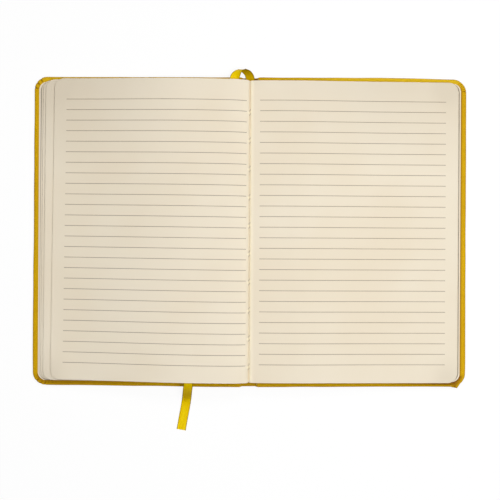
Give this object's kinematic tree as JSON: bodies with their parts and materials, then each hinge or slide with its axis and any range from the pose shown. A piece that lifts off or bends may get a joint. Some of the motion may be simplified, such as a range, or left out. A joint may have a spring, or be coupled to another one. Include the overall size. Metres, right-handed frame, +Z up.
{
  "type": "notebook",
  "caption": "Hardcover ruled notebook lying open at its middle, with swelling sewn pages, yellow wrapped covers and a ribbon marker.",
  "frame": {"origin": "centre of the spine's underside, on the table that the open notebook lies on", "axes": "+X across the spread towards the back cover, +Y along the spine towards the head of the pages, +Z up from the table"},
  "size_m": [0.294, 0.2452, 0.018],
  "materials": {
    "cover_skin": "fine-grained yellow imitation leather, satin",
    "greyboard": "raw grey board",
    "spine_card": "thin raw card",
    "endpaper": "cream uncoated paper",
    "page_paper": "cream uncoated writing paper",
    "ruling": "thin printed grey-brown line",
    "thread": "waxed off-white sewing thread",
    "gauze": "open cotton gauze, glued",
    "lining_paper": "brown kraft paper",
    "ribbon": "woven yellow satin"
  },
  "bodies": {
    "block": {"text_block": "page_paper", "spine_cover_skin": "cover_skin", "spine_stiffener": "spine_card", "front_flyleaf": "endpaper", "back_flyleaf": "endpaper", "ruled_lines": "ruling", "sewing_thread": "thread", "spine_gauze": "gauze", "spine_lining": "lining_paper", "ribbon_marker": "ribbon"},
    "front_cover": {"front_cover_skin": "cover_skin", "front_board": "greyboard", "front_pastedown": "endpaper"},
    "back_cover": {"back_cover_skin": "cover_skin", "back_board": "greyboard", "back_pastedown": "endpaper"}
  },
  "joints": [
    {"name": "front_cover_hinge", "type": "hinge", "parent": "block", "child": "front_cover", "pos_m": [-0.005, 0, 0], "axis": [0, -1, 0], "range_deg": [0, 90]},
    {"name": "back_cover_hinge", "type": "hinge", "parent": "block", "child": "back_cover", "pos_m": [0.005, 0, 0], "axis": [0, 1, 0], "range_deg": [0, 90]}
  ]
}
